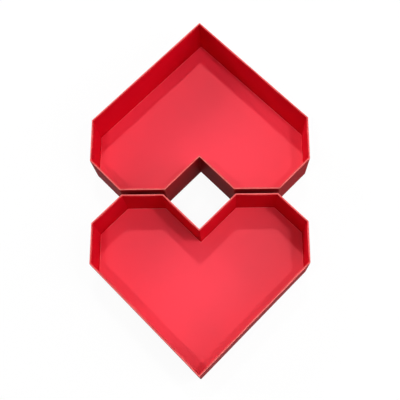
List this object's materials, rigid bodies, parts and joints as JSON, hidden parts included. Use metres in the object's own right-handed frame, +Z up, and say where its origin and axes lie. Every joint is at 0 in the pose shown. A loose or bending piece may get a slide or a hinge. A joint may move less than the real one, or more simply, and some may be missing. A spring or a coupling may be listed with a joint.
{
  "type": "heart-shaped gift box",
  "caption": "Faceted heart-shaped gift box of paper-wrapped board, shown open: its telescoping lid lies turned over beside the base. Holds sweets or a small gift.",
  "frame": {"origin": "on the table, at the middle of the box that encloses both trays", "axes": "+X across the lobes, +Y from the base's tip towards the lid's tip, +Z up"},
  "size_m": [0.2, 0.3316, 0.0435],
  "materials": {
    "greyboard": "matt grey pulp board",
    "stay_tape": "matt gummed kraft paper",
    "wrap_paper": "satin coated paper, deep red",
    "face_sheet_paper": "satin coated paper, deep red",
    "lining_paper": "matt coated paper, bright red",
    "liner_card": "matt coated card, bright red"
  },
  "bodies": {
    "base": {"base_floor_board": "greyboard", "base_wall_notch_left": "greyboard", "base_wall_notch_right": "greyboard", "base_wall_lobe_left": "greyboard", "base_wall_lobe_right": "greyboard", "base_wall_shoulder_left": "greyboard", "base_wall_shoulder_right": "greyboard", "base_wall_side_left": "greyboard", "base_wall_side_right": "greyboard", "base_wall_tip_left": "greyboard", "base_wall_tip_right": "greyboard", "base_corner_stays": "stay_tape", "base_outer_wrap": "wrap_paper", "base_bottom_sheet": "face_sheet_paper", "base_wall_lining": "lining_paper", "base_floor_liner": "liner_card"},
    "lid": {"lid_top_board": "greyboard", "lid_wall_notch_left": "greyboard", "lid_wall_notch_right": "greyboard", "lid_wall_lobe_left": "greyboard", "lid_wall_lobe_right": "greyboard", "lid_wall_shoulder_left": "greyboard", "lid_wall_shoulder_right": "greyboard", "lid_wall_side_left": "greyboard", "lid_wall_side_right": "greyboard", "lid_wall_tip_left": "greyboard", "lid_wall_tip_right": "greyboard", "lid_corner_stays": "stay_tape", "lid_outer_wrap": "wrap_paper", "lid_top_sheet": "face_sheet_paper", "lid_wall_lining": "lining_paper", "lid_top_liner": "liner_card"}
  },
  "joints": [
    {"name": "lid_turn", "type": "hinge", "parent": "base", "child": "lid", "pos_m": [0, -0.00248, 0.04165], "axis": [1, 0, 0], "range_deg": [0, 180]}
  ]
}
